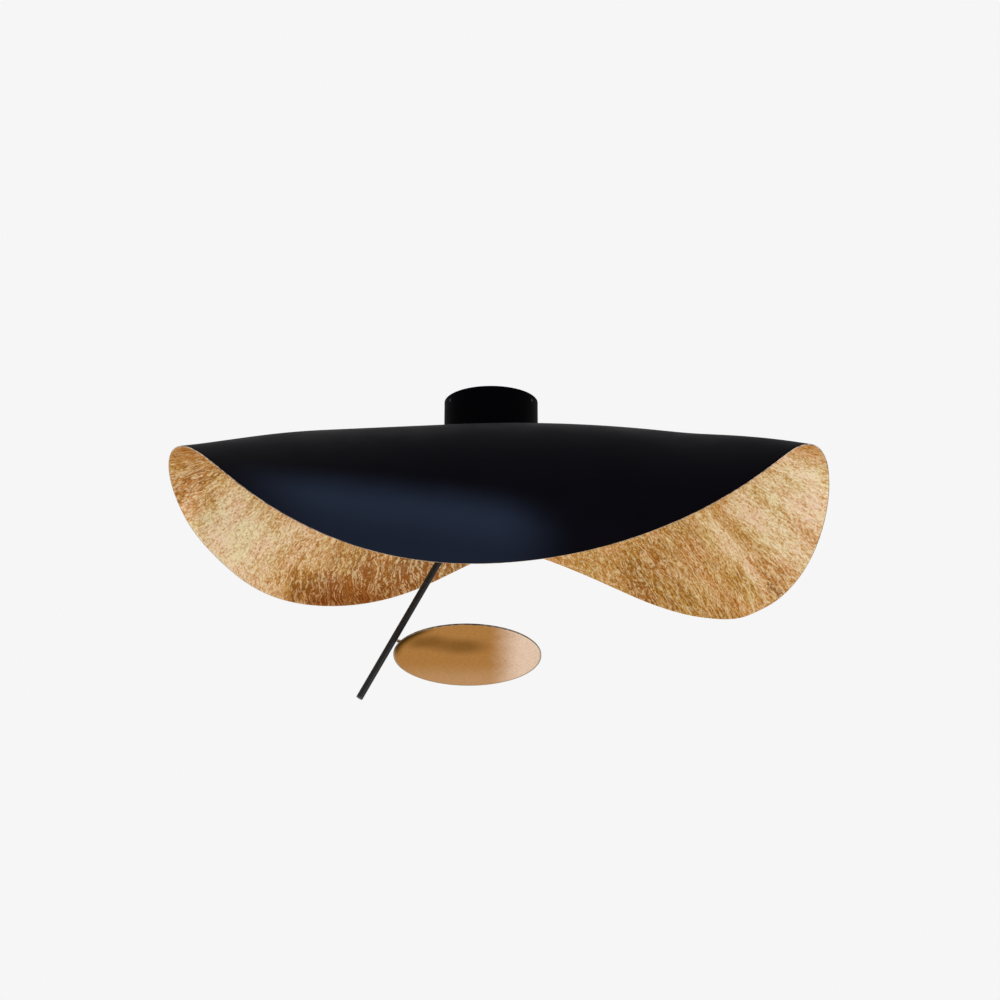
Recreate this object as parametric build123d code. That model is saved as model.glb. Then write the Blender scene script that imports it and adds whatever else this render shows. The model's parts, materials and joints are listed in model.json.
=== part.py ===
from build123d import *
from collections import namedtuple
import math
import os

# Ceiling light with a bent disc shade and a small light dish on a leaning rod.
# Millimetres. The origin is on the ceiling, on the canopy's axis. +Z points up,
# so the lamp hangs below zero, and the shade's low front flap faces -Y.

# Canopy, the round can on the ceiling
CANOPY_D = 145.0
CANOPY_H = 85.0
CANOPY_WALL = 1.2
CANOPY_EDGE_R = 2.5
PLATE_D = 136.8
PLATE_T = 2.0
SLOT_SPACING = 80.0
SLOT_LENGTH = 14.0
SLOT_WIDTH = 5.2
CABLE_HOLE_D = 20.0
CABLE_BORE_D = 9.0
TAB_WIDTH = 18.0
TAB_DROP = 16.0
TAB_HEADINGS = (90, 210, 330)
TAB_GAP = 0.9
SET_SCREW_Z = -9.0
SET_SCREW_R = 2.0
SET_SCREW_LENGTH = 8.0

# Driver, terminal block and wires inside the canopy
DRIVER_LENGTH = 80.0
DRIVER_Y = (14.0, 52.0)
DRIVER_H = 24.0
DRIVER_EAR_T = 2.5
DRIVER_EAR_REACH = 6.0
DRIVER_SCREW_X = 43.0
DRIVER_SCREW_R = 1.5
DRIVER_OUTLET_Z = -16.0
POLE_XS = (-10.0, 0.0, 10.0)
POLE_DROP = 7.0
BLOCK_HALF = 16.0
BLOCK_Y = (-46.0, -30.0)
BLOCK_H = 16.0
BLOCK_SCREW_DY = 4.0
EARTH_PLACE = (36.0, -34.0)
EARTH_EYE_T = 1.0
WIRE_D = 2.4
EARTH_WIRE_D = 2.0
OUTPUT_LEAD_D = 4.0

# Shade, a flat disc that is rolled in nine soft bends
SHADE_R = 500.0
SHADE_T = 2.0
SHADE_OFFSET = (17.15, -21.22)
GASKET_T = 1.0

# A bend rolls everything past a straight line. The line lies square to heading
# (degrees from +X), start millimetres from the canopy axis. Past it the sheet
# curls down to radius, or up where radius is negative, and the curl builds up
# over the length ease. The bends are made in this order.
Bend = namedtuple("Bend", "heading start radius ease")
BENDS = (
    Bend(heading=31.7, start=278.8, radius=-209.5, ease=40.0),
    Bend(heading=120.0, start=343.7, radius=166.7, ease=40.0),
    Bend(heading=150.9, start=113.2, radius=229.5, ease=103.0),
    Bend(heading=214.2, start=292.0, radius=-238.5, ease=213.6),
    Bend(heading=26.2, start=174.4, radius=157.2, ease=40.2),
    Bend(heading=0.1, start=221.1, radius=-1976.0, ease=58.8),
    Bend(heading=-30.3, start=299.9, radius=-542.9, ease=41.7),
    Bend(heading=-42.5, start=70.1, radius=1196.0, ease=40.2),
    Bend(heading=-97.0, start=70.2, radius=277.9, ease=40.7),
)
CURL_STEPS = 24
GRID = 61
GRID_END_ANGLE = 88.5
SURFACE_TOLERANCE = 0.2
SEAT_R = 66.0

# Clamp under the shade, and the swivel that turns in it
CLAMP_D = 80.0
CLAMP_T = 3.0
CLAMP_PCD = 56.0
CLAMP_SCREW_D = 5.0
CLAMP_SCREW_HEADINGS = (30, 150, 270)
CLAMP_HEAD_H = 2.5
SCREW_HOLE_GAP = 0.3
STEM_HOLE_GAP = 0.5
STOP_R = 10.5
STOP_D = 3.0
WASHER_R = 8.5
WASHER_T = 1.0
SHOULDER_T = 4.0
LUG_HALF = 2.2
STEM_D = 10.0
STEM_BORE_D = 5.2
RUNNING_GAP = 0.05
PIVOT_DROP = 28.0
EAR_T = 4.0
EAR_R = 7.0
EYE_R = 7.5
EYE_T = 5.9
BOLT_D = 6.0
STEM_WASHER_T = 1.5
STEM_NUT_H = 6.0

# Rod that carries the dish
ARM_HEADING = 190.0
ARM_LEAN = 28.4
ARM_LENGTH = 404.0
ARM_D = 10.0
ARM_WALL = 1.0
EYE_COLLAR_AT = 9.0
TUBE_START = 13.0
EYE_SHANK_END = 32.0
PLUG_HEAD = 2.0
PLUG_LENGTH = 16.0
SLEEVE_HALF = 12.0
LEAD_D = 2.2
LEAD_BORE_R = 1.6
PIN_AT = 304.5
PIN_D = 4.5
PIN_BORE_D = 2.6
PIN_START = 2.6

# Dish: its pin points from the rod to the middle of the dish
PIN_HEADING = 22.0
PIN_SLOPE = -4.5
DISH_ROLL = -11.0
DISH_D = 220.0
PIN_TO_CENTRE = 116.7
PAN_T = 1.5
PAN_EDGE_T = 2.5
PAN_EDGE_W = 2.5
PIN_ABOVE_PAN = 5.0
BEARING_X = (62.0, 86.0)
BEARING_BORE_R = 3.6
BUSH_GAP = 0.03
CLIP_GAP = 0.4
CLIP_SLOT = 0.8
CLIP_T = 0.6
FOOT_Y = 11.0
FOOT_T = 2.5
STUD_R = 1.5
STUD_H = 5.5
NUT_H = 2.4
LAMP_D = 100.0
LAMP_H = 12.0
LAMP_WALL = 5.5
LAMP_HEADINGS = (0, 120, 240)
LAMP_STUD_OUT = 4.5
LENS_LEDGE_DROP = 4.0
LENS_T = 2.0
LENS_CROWN = 3.0
LENS_RING_T = 1.5
LENS_SCREW_IN = 1.5
LENS_SCREW_R = 0.8
LENS_SCREW_HEADINGS = (90, 210, 330)
SPREADER_T = 3.0
BOARD_T = 1.6
BOARD_R = 42.0
CHIP = (3.5, 2.8, 0.8)
LED_RINGS = ((14.0, 6), (25.0, 12), (36.0, 18))

# Heights that follow from the above
CANOPY_R = CANOPY_D / 2
CANOPY_IN_R = CANOPY_R - CANOPY_WALL
SEAT_Z = -CANOPY_H - GASKET_T
UNDER_Z = SEAT_Z - SHADE_T
CLAMP_Z = UNDER_Z - CLAMP_T
PIVOT_Z = SEAT_Z - PIVOT_DROP
FLOOR_Z = -CANOPY_H + CANOPY_WALL
TAB_R = CANOPY_IN_R - TAB_GAP
POLE_Z = -PLATE_T - POLE_DROP
DRIVER_MID_Y = sum(DRIVER_Y) / 2
DRIVER_SCREWS = ((-DRIVER_SCREW_X, DRIVER_MID_Y), (DRIVER_SCREW_X, DRIVER_MID_Y))
STEM_WASHER_Z = FLOOR_Z + RUNNING_GAP
TUBE_BORE_R = ARM_D / 2 - ARM_WALL

# Heights above the pivot, and half widths of the knuckle, in the swivel's frame
SHOULDER_TOP = CLAMP_Z - WASHER_T - RUNNING_GAP - PIVOT_Z
SHOULDER_BASE = SHOULDER_TOP - SHOULDER_T
STEM_TOP = FLOOR_Z - PIVOT_Z + 14
SLOT_HALF = EYE_T / 2 + RUNNING_GAP + WASHER_T
KNUCKLE_HALF = SLOT_HALF + EAR_T

# Heights and places in the dish's frame, and lengths along the pin
PAN_Z = -PIN_ABOVE_PAN
BEARING_MID_X = -sum(BEARING_X) / 2
CLIP_AT = PIN_TO_CENTRE - BEARING_X[0] + CLIP_GAP
PIN_END = CLIP_AT + 3.0
BOARD_TOP = PAN_Z + SPREADER_T + BOARD_T
LAMP_TOP = PAN_Z + LAMP_H
LENS_LEDGE = LAMP_TOP - LENS_LEDGE_DROP
LENS_TOP = LAMP_TOP + LENS_RING_T
# The lead crosses the lamp ring just above the board
LEAD_Z = BOARD_TOP + LEAD_D / 2


def heading_vector(heading, slope=0.0):
    """Unit vector at a heading from +X, raised by slope, both in degrees."""
    flat = math.cos(math.radians(slope))
    return Vector(
        flat * math.cos(math.radians(heading)),
        flat * math.sin(math.radians(heading)),
        math.sin(math.radians(slope)),
    )


# The swivel's frame has its origin at the pivot, X towards the lean of the rod
SWIVEL = Plane(
    origin=(0, 0, PIVOT_Z), x_dir=heading_vector(ARM_HEADING), z_dir=(0, 0, 1)
).location
# The rod's frame has the same origin and its Z runs down the rod
ROD_AXIS = heading_vector(ARM_HEADING, ARM_LEAN - 90)
KNUCKLE_AXIS = heading_vector(ARM_HEADING + 90)
ARM = Plane(
    origin=(0, 0, PIVOT_Z), x_dir=KNUCKLE_AXIS.cross(ROD_AXIS), z_dir=ROD_AXIS
).location
# The dish's frame has its origin on the pin axis over the middle of the dish,
# X from the rod to the middle, Z out of its lit face
PIN_AXIS = heading_vector(PIN_HEADING, PIN_SLOPE)
PIN_POINT = Vector(0, 0, PIVOT_Z) + ROD_AXIS * PIN_AT
DISH_UP = Vector(0, 0, 1).rotate(Axis((0, 0, 0), PIN_AXIS), DISH_ROLL)
DISH = Plane(
    origin=PIN_POINT + PIN_AXIS * PIN_TO_CENTRE,
    x_dir=PIN_AXIS,
    z_dir=DISH_UP - PIN_AXIS * DISH_UP.dot(PIN_AXIS),
).location


def drum(radius, top, bottom):
    """Upright cylinder on the axis between two heights."""
    return Pos(0, 0, bottom) * Cylinder(
        radius, top - bottom, align=(Align.CENTER, Align.CENTER, Align.MIN)
    )


def ring(outer, inner, top, bottom):
    """Upright ring on the axis between two heights, by its radii."""
    return drum(outer, top, bottom) - drum(inner, top, bottom)


def block(x, y, z):
    """Box between pairs of coordinates."""
    return Pos(x[0], y[0], z[0]) * Box(
        x[1] - x[0], y[1] - y[0], z[1] - z[0], align=(Align.MIN,) * 3
    )


def along_x(shape):
    """Turn an upright shape so that its top points along +X."""
    return Rot(0, 90, 0) * shape


def along_y(shape):
    """Turn an upright shape so that its top points along +Y."""
    return Rot(-90, 0, 0) * shape


def around(shape, headings):
    """Copies of a shape turned about the Z axis to each heading."""
    return [Rot(0, 0, heading) * shape for heading in headings]


def hexagon(flats, hole_r, top, bottom):
    """Hexagon nut or spacer on the axis, by its width across flats."""
    outline = RegularPolygon(flats / 2, 6, major_radius=False)
    nut = Pos(0, 0, bottom) * extrude(outline, top - bottom)
    return nut - drum(hole_r, top, bottom) if hole_r else nut


def pan_head(shank_r, head_r, head_h, head_top, tip):
    """Upside-down screw: the head hangs below head_top, the shank rises to tip."""
    head = drum(head_r, head_top, head_top - head_h)
    head = fillet(head.edges().group_by(Axis.Z)[0], head_h * 0.4)
    socket = hexagon(shank_r * 1.2, 0, head_top - head_h / 2, head_top - head_h)
    return head + drum(shank_r, tip, head_top) - socket


def lead(points, diameter, bend_r):
    """Insulated wire along straight runs joined by arcs."""
    path = FilletPolyline(*points, radius=bend_r)
    section = Plane(origin=path @ 0, z_dir=path % 0) * Circle(diameter / 2)
    return sweep(section, path)


def export(name, shape):
    """Write one node, as one solid or a group of separate solids."""
    solids = shape if isinstance(shape, list) else [shape]
    parts = [solid for item in solids for solid in item.solids()]
    export_step(Compound(children=parts), f"parts/{name}.step")


def rolled(point, bend):
    """Where one bend takes a point of the sheet."""
    x, y, z = point
    nx = math.cos(math.radians(bend.heading))
    ny = math.sin(math.radians(bend.heading))
    past = x * nx + y * ny - bend.start
    if past <= 0:
        return point

    def turn(length):
        if length < bend.ease:
            return length * length / (2 * bend.ease * bend.radius)
        return (length - bend.ease / 2) / bend.radius

    step = past / CURL_STEPS
    turns = [turn((i + 0.5) * step) for i in range(CURL_STEPS)]
    forward = step * sum(math.cos(a) for a in turns)
    drop = step * sum(math.sin(a) for a in turns)
    end = turn(past)
    shift = forward - past + z * math.sin(end)
    return (x + nx * shift, y + ny * shift, z * math.cos(end) - drop)


def sheet_point(u, v, depth):
    """Where a point of the flat disc lies once the disc is bent."""
    point = (u + SHADE_OFFSET[0], v + SHADE_OFFSET[1], -depth)
    for bend in BENDS:
        point = rolled(point, bend)
    return (point[0], point[1], point[2] + SEAT_Z)


def sheet_face(depth):
    """One side of the bent disc, through a grid that fills its round outline."""
    rows = []
    for i in range(GRID):
        angle = math.radians(GRID_END_ANGLE * (2 * i / (GRID - 1) - 1))
        u = SHADE_R * math.sin(angle)
        half = SHADE_R * math.cos(angle)
        spread = [2 * j / (GRID - 1) - 1 for j in range(GRID)]
        rows.append([sheet_point(u, half * s, depth) for s in spread])
    return Face.make_surface_from_array_of_points(rows, tol=SURFACE_TOLERANCE)


def clamp_hole_places():
    """Places of the three screws that pinch the shade."""
    return around(Pos(CLAMP_PCD / 2, 0, 0), CLAMP_SCREW_HEADINGS)


def wave_shade():
    top = sheet_face(0)
    under = sheet_face(SHADE_T)
    rim = [
        Face.make_surface_from_curves(a, b)
        for a, b in zip(top.edges(), under.edges())
    ]
    curved = Solid(Shell([top, under] + rim)) - drum(SEAT_R, SEAT_Z + 5, UNDER_Z - 5)
    # The seat between the canopy and the clamp is a truly flat disc with the holes
    seat = ring(SEAT_R, STEM_D / 2 + STEM_HOLE_GAP, SEAT_Z, UNDER_Z)
    for place in clamp_hole_places():
        seat -= place * drum(CLAMP_SCREW_D / 2 + SCREW_HOLE_GAP, SEAT_Z, UNDER_Z)
    return curved + seat


def mounting_plate():
    plate = drum(PLATE_D / 2, 0, -PLATE_T)
    width = (-TAB_WIDTH / 2, TAB_WIDTH / 2)
    tab = block((TAB_R - PLATE_T, TAB_R), width, (-TAB_DROP, 0))
    tab += block((PLATE_D / 2 - 8, TAB_R), width, (-PLATE_T, 0))
    tab -= Pos(0, 0, SET_SCREW_Z) * along_x(drum(SET_SCREW_R, CANOPY_R, CANOPY_R - 15))
    for copy in around(tab, TAB_HEADINGS):
        plate += copy
    slot = extrude(SlotOverall(SLOT_LENGTH, SLOT_WIDTH), -PLATE_T)
    for side in (-1, 1):
        plate -= Pos(side * SLOT_SPACING / 2, 0, 0) * slot
    plate -= drum(CABLE_HOLE_D / 2, 0, -PLATE_T)
    for x, y in DRIVER_SCREWS:
        plate -= Pos(x, y, 0) * drum(DRIVER_SCREW_R, 0, -PLATE_T)
    return plate - Pos(*EARTH_PLACE, 0) * drum(2, 0, -PLATE_T)


def tab_nuts():
    inner = TAB_R - PLATE_T
    nut = along_x(hexagon(7, SET_SCREW_R, inner, inner - 3.2))
    nut = Pos(0, 0, SET_SCREW_Z) * nut
    return around(nut, TAB_HEADINGS)


def canopy_set_screws():
    screw = drum(SET_SCREW_R, CANOPY_R, CANOPY_R - SET_SCREW_LENGTH)
    screw -= hexagon(2, 0, CANOPY_R, CANOPY_R - 2)
    return around(Pos(0, 0, SET_SCREW_Z) * along_x(screw), TAB_HEADINGS)


def canopy_cup():
    body = fillet(
        drum(CANOPY_R, 0, -CANOPY_H).edges().group_by(Axis.Z)[0], CANOPY_EDGE_R
    )
    hollow = fillet(
        drum(CANOPY_IN_R, 0, FLOOR_Z).edges().group_by(Axis.Z)[0],
        CANOPY_EDGE_R - CANOPY_WALL,
    )
    cup = body - hollow - drum(STEM_D / 2 + RUNNING_GAP, FLOOR_Z, -CANOPY_H)
    for place in clamp_hole_places():
        cup -= place * drum(CLAMP_SCREW_D / 2, FLOOR_Z, -CANOPY_H)
    hole = along_x(drum(SET_SCREW_R, CANOPY_R + 1, CANOPY_IN_R - 1))
    hole = Pos(0, 0, SET_SCREW_Z) * hole
    for copy in around(hole, TAB_HEADINGS):
        cup -= copy
    return cup


def cable_bush():
    """Grommet in the plate, grooved over its edge, with the supply cable's bore."""
    groove_r = CABLE_HOLE_D / 2
    bush = drum(groove_r, 0, -6) + drum(groove_r + 2, -PLATE_T, -6)
    bush = chamfer(bush.edges().group_by(Axis.Z)[0], 1)
    return bush - drum(CABLE_BORE_D / 2, 0, -6)


def led_driver():
    half = DRIVER_LENGTH / 2
    case = block((-half, half), DRIVER_Y, (-PLATE_T - DRIVER_H, -PLATE_T))
    case = fillet(case.edges().filter_by(Axis.Z), 3)
    case = fillet(case.edges().group_by(Axis.Z)[0], 1.5)
    ear_end = half + DRIVER_EAR_REACH
    ear_under = -PLATE_T - DRIVER_EAR_T
    ear_width = (DRIVER_MID_Y - 8, DRIVER_MID_Y + 8)
    case += block((-ear_end, ear_end), ear_width, (ear_under, -PLATE_T))
    for x, y in DRIVER_SCREWS:
        case -= Pos(x, y, 0) * drum(DRIVER_SCREW_R + 0.2, 0, ear_under)
    return case


def driver_screws():
    screw = pan_head(DRIVER_SCREW_R, 2.75, 2, -PLATE_T - DRIVER_EAR_T, 0)
    return [Pos(x, y, 0) * screw for x, y in DRIVER_SCREWS]


def terminal_block():
    bottom = -PLATE_T - BLOCK_H
    body = block((-BLOCK_HALF, BLOCK_HALF), BLOCK_Y, (bottom, -PLATE_T))
    body = chamfer(body.edges().group_by(Axis.Z)[0], 1)
    mid_y = sum(BLOCK_Y) / 2
    for x in POLE_XS:
        body -= Pos(x, mid_y, POLE_Z) * along_y(drum(1.5, 8, -8))
        for dy in (-BLOCK_SCREW_DY, BLOCK_SCREW_DY):
            body -= Pos(x, mid_y + dy, 0) * drum(2, POLE_Z - 3, bottom)
    return body


def terminal_screws():
    mid_y = sum(BLOCK_Y) / 2
    top = POLE_Z - 3
    screw = drum(2, top, top - 3) - block((-2, 2), (-0.3, 0.3), (top - 3, top - 2))
    ys = (mid_y - BLOCK_SCREW_DY, mid_y + BLOCK_SCREW_DY)
    return [Pos(x, y, 0) * screw for x in POLE_XS for y in ys]


def earth_screw():
    return Pos(*EARTH_PLACE, 0) * pan_head(2, 3.5, 2.6, -PLATE_T - EARTH_EYE_T, 0)


def earth_lead():
    """Earth wire from the third pole, ending in a ring under the earth screw."""
    x, y = EARTH_PLACE
    low = -PLATE_T - EARTH_EYE_T
    wire_z = low + 0.1 - EARTH_WIRE_D / 2
    points = [
        (POLE_XS[2], BLOCK_Y[1] - 3, POLE_Z),
        (POLE_XS[2], -20, POLE_Z),
        (x, -20, wire_z),
        (x, y + 3.2, wire_z),
    ]
    wire = lead(points, EARTH_WIRE_D, 5)
    eye = Pos(x, y, 0) * ring(4.2, 2, -PLATE_T, low)
    head_room = Pos(x, y, 0) * drum(3.8, low, low - 5)
    return eye + (wire - head_room)


def input_leads():
    """Live and neutral wires from the terminal block to the driver's end."""
    leads = []
    for x, outer, height in ((POLE_XS[0], 54, -12), (POLE_XS[1], 50, -17)):
        points = [
            (x, BLOCK_Y[1] - 3, POLE_Z),
            (x, BLOCK_Y[1] + 8, POLE_Z),
            (-outer, -10 if x else -6, height),
            (-outer, DRIVER_MID_Y, height),
            (-DRIVER_LENGTH / 2, DRIVER_MID_Y, height),
        ]
        leads.append(lead(points, WIRE_D, 5))
    return leads


def output_lead():
    """Low-voltage lead from the driver's other end down into the swivel's stem."""
    out_x = DRIVER_LENGTH / 2 + 12
    points = [
        (DRIVER_LENGTH / 2, DRIVER_MID_Y, DRIVER_OUTLET_Z),
        (out_x, DRIVER_MID_Y, DRIVER_OUTLET_Z),
        (out_x, 6, -34),
        (0, 0, -44),
        (0, 0, PIVOT_Z + EAR_R + 4),
    ]
    return lead(points, OUTPUT_LEAD_D, 9)


def canopy_gasket():
    gasket = ring(SEAT_R - 1, STEM_D / 2 + STEM_HOLE_GAP, -CANOPY_H, SEAT_Z)
    for place in clamp_hole_places():
        gasket -= place * drum(CLAMP_SCREW_D / 2 + SCREW_HOLE_GAP, -CANOPY_H, SEAT_Z)
    return gasket


def countersunk_head():
    """Cone of a clamp screw's head, flush with the plate's underside."""
    cone = Cone(CLAMP_SCREW_D, CLAMP_SCREW_D / 2, CLAMP_HEAD_H)
    return Pos(0, 0, CLAMP_Z + CLAMP_HEAD_H / 2) * cone


def clamp_plate():
    plate = drum(CLAMP_D / 2, UNDER_Z, CLAMP_Z)
    plate = chamfer(plate.edges().group_by(Axis.Z)[0], 1.2)
    plate -= drum(STEM_D / 2 + RUNNING_GAP, UNDER_Z, CLAMP_Z)
    hole = drum(CLAMP_SCREW_D / 2, UNDER_Z, CLAMP_Z) + countersunk_head()
    for place in clamp_hole_places():
        plate -= place * hole
    stop = Rot(0, 0, ARM_HEADING + 180) * Pos(STOP_R, 0, 0)
    return plate - stop * drum(STOP_D / 2, UNDER_Z, CLAMP_Z)


def stop_pin():
    """Dowel that the swivel's lug meets at either end of its turn."""
    pin = drum(STOP_D / 2, UNDER_Z, CLAMP_Z - WASHER_T - 3)
    pin = chamfer(pin.edges().group_by(Axis.Z)[0], 0.4)
    return Rot(0, 0, ARM_HEADING + 180) * Pos(STOP_R, 0, 0) * pin


def clamp_screws():
    screw = drum(CLAMP_SCREW_D / 2, FLOOR_Z + 7, CLAMP_Z) + countersunk_head()
    screw -= hexagon(3, 0, CLAMP_Z + 1.8, CLAMP_Z)
    return [place * screw for place in clamp_hole_places()]


def clamp_nuts():
    nut = hexagon(8, CLAMP_SCREW_D / 2, FLOOR_Z + 5, FLOOR_Z + 1)
    nut += ring(5.5, CLAMP_SCREW_D / 2, FLOOR_Z + 1, FLOOR_Z)
    return [place * nut for place in clamp_hole_places()]


def swivel_fork():
    """Hollow threaded stem with a shoulder, a stop lug and two ears."""
    fork = drum(STEM_D / 2, STEM_TOP, SHOULDER_TOP)
    fork = chamfer(fork.edges().group_by(Axis.Z)[-1], 0.8)
    fork += drum(WASHER_R, SHOULDER_TOP, SHOULDER_BASE)
    lug_heights = (SHOULDER_BASE, SHOULDER_TOP - 0.5)
    fork += block((0, STOP_R + STOP_D), (-LUG_HALF, LUG_HALF), lug_heights)
    cheek = along_y(drum(EAR_R, KNUCKLE_HALF, -KNUCKLE_HALF))
    cheek += block(
        (-EAR_R, EAR_R), (-KNUCKLE_HALF, KNUCKLE_HALF), (0, SHOULDER_BASE)
    )
    slot = block((-20, 20), (-SLOT_HALF, SLOT_HALF), (-20, SHOULDER_BASE - 1))
    fork += cheek - slot
    fork -= drum(STEM_BORE_D / 2, STEM_TOP, 0)
    fork -= along_y(drum(BOLT_D / 2, 20, -20))
    return SWIVEL * fork


def thrust_washer():
    """Nylon washer between the shoulder and the clamp plate."""
    washer = ring(WASHER_R, STEM_D / 2, SHOULDER_TOP + WASHER_T, SHOULDER_TOP)
    return SWIVEL * washer


def stem_washer():
    return ring(10, STEM_D / 2, STEM_WASHER_Z + STEM_WASHER_T, STEM_WASHER_Z)


def stem_nut():
    """Hexagon nut with a round locking collar."""
    base = STEM_WASHER_Z + STEM_WASHER_T
    top = base + STEM_NUT_H
    return hexagon(17, STEM_D / 2, top, base) + ring(7.5, STEM_D / 2, top + 2, top)


def knuckle_bolt():
    head = drum(5.5, KNUCKLE_HALF + 3.5, KNUCKLE_HALF)
    head = fillet(head.edges().group_by(Axis.Z)[-1], 1.5)
    head -= hexagon(4, 0, KNUCKLE_HALF + 3.5, KNUCKLE_HALF + 1.5)
    shank = drum(BOLT_D / 2, KNUCKLE_HALF, -KNUCKLE_HALF - 6)
    shank = chamfer(shank.edges().group_by(Axis.Z)[0], 0.6)
    return SWIVEL * along_y(head + shank)


def knuckle_nut():
    nut = hexagon(10, BOLT_D / 2, -KNUCKLE_HALF, -KNUCKLE_HALF - 5)
    return SWIVEL * along_y(nut)


def knuckle_washers():
    inner = EYE_T / 2 + RUNNING_GAP
    washer = ring(6.5, BOLT_D / 2, SLOT_HALF, inner)
    return [SWIVEL * along_y(washer), SWIVEL * Rot(0, 0, 180) * along_y(washer)]


def arm_eye():
    """Flat eye on the knuckle bolt, a collar, and a bored shank in the tube."""
    eye = along_y(drum(EYE_R, EYE_T / 2, -EYE_T / 2))
    eye += block((-4.5, 4.5), (-EYE_T / 2, EYE_T / 2), (0, EYE_COLLAR_AT + 1))
    eye += drum(ARM_D / 2, TUBE_START, EYE_COLLAR_AT)
    eye += drum(TUBE_BORE_R, EYE_SHANK_END, TUBE_START)
    eye -= drum(LEAD_BORE_R, EYE_SHANK_END, EYE_COLLAR_AT + 1)
    return ARM * (eye - along_y(drum(BOLT_D / 2 + 0.03, 10, -10)))


def pin_line(radius, start, end):
    """Cylinder along the pin axis, measured from the rod's centre line."""
    frame = Plane(origin=PIN_POINT, z_dir=PIN_AXIS).location
    return frame * drum(radius, end, start)


def arm_tube():
    tube = ring(ARM_D / 2, TUBE_BORE_R, ARM_LENGTH - PLUG_HEAD, TUBE_START)
    return ARM * tube - pin_line(PIN_D / 2, 0, ARM_D)


def arm_end_plug():
    head = drum(ARM_D / 2, ARM_LENGTH, ARM_LENGTH - PLUG_HEAD)
    head = fillet(head.edges().group_by(Axis.Z)[-1], 0.6)
    shank = drum(TUBE_BORE_R, ARM_LENGTH - PLUG_HEAD, ARM_LENGTH - PLUG_LENGTH)
    return ARM * (head + shank)


def pivot_sleeve():
    """Solid insert in the tube, cross-drilled for the pin, bored for the lead."""
    sleeve = drum(TUBE_BORE_R, PIN_AT + SLEEVE_HALF, PIN_AT - SLEEVE_HALF)
    sleeve -= drum(LEAD_BORE_R, PIN_AT, PIN_AT - SLEEVE_HALF)
    turn = Pos(*PIN_POINT) * Sphere(2.4)
    return ARM * sleeve - pin_line(PIN_D / 2, 0, ARM_D) - turn


def pivot_pin():
    """Hollow steel pin fixed across the rod, the dish turns on it."""
    pin = pin_line(PIN_D / 2, PIN_START, PIN_END)
    groove = pin_line(PIN_D, CLIP_AT, CLIP_AT + CLIP_SLOT)
    groove -= pin_line(PIN_D / 2 - 0.4, CLIP_AT, CLIP_AT + CLIP_SLOT)
    return pin - groove - pin_line(PIN_BORE_D / 2, 0, PIN_END)


def pin_clip():
    """Open ring in the pin's groove."""
    start = CLIP_AT + (CLIP_SLOT - CLIP_T) / 2
    clip = ring(4.2, PIN_D / 2 - 0.4, start + CLIP_T, start)
    clip -= block((-1.2, 1.2), (0, 6), (start, start + CLIP_T))
    return Plane(origin=PIN_POINT, z_dir=PIN_AXIS).location * clip


def arm_lead():
    """Lead down the tube and out through the hollow pin."""
    start = Vector(0, 0, PIVOT_Z) + ROD_AXIS * (EYE_COLLAR_AT + 2)
    end = PIN_POINT + PIN_AXIS * (PIN_END - 1)
    return lead([start, PIN_POINT, end], LEAD_D, 1.3)


def dish_pan():
    """Round pan with a thicker edge, gold below, with welded studs on top."""
    radius = DISH_D / 2
    pan = drum(radius, PAN_Z, PAN_Z - PAN_T)
    pan += ring(radius, radius - PAN_EDGE_W, PAN_Z - PAN_T + PAN_EDGE_T, PAN_Z - PAN_T)
    pan = fillet(pan.edges().group_by(Axis.Z)[0], 0.5)
    stud = drum(STUD_R, PAN_Z + STUD_H, PAN_Z)
    for side in (-1, 1):
        pan += Pos(BEARING_MID_X, side * FOOT_Y, 0) * stud
    for heading in LAMP_HEADINGS:
        pan += Rot(0, 0, heading) * Pos(LAMP_D / 2 + LAMP_STUD_OUT, 0, 0) * stud
    return DISH * pan


def pin_block():
    """Bearing block with two feet, bolted over the pan's studs."""
    half = 7.0
    body = block((-BEARING_X[1], -BEARING_X[0]), (-half, half), (PAN_Z, 6))
    body = fillet(body.edges().filter_by(Axis.X).group_by(Axis.Z)[-1], 3)
    foot = block(
        (BEARING_MID_X - 6, BEARING_MID_X + 6), (-16, 16), (PAN_Z, PAN_Z + FOOT_T)
    )
    foot = fillet(foot.edges().filter_by(Axis.Z), 3)
    body += foot
    for side in (-1, 1):
        body -= Pos(BEARING_MID_X, side * FOOT_Y, 0) * drum(STUD_R, 8, PAN_Z)
    return DISH * (body - along_x(drum(BEARING_BORE_R, -BEARING_X[0], -BEARING_X[1])))


def friction_bush():
    """Flanged bush the pin turns in."""
    bore_r = PIN_D / 2 + BUSH_GAP
    bush = ring(BEARING_BORE_R, bore_r, -BEARING_X[0], -BEARING_X[1])
    flange = ring(4.8, bore_r, -BEARING_X[1], -BEARING_X[1] - 1)
    return DISH * along_x(bush + flange)


def stud_nut():
    """Nut on one of the pan's studs, over a foot."""
    return hexagon(5.5, STUD_R, PAN_Z + FOOT_T + NUT_H, PAN_Z + FOOT_T)


def foot_nuts():
    places = [Pos(BEARING_MID_X, side * FOOT_Y, 0) for side in (-1, 1)]
    return [DISH * place * stud_nut() for place in places]


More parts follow.
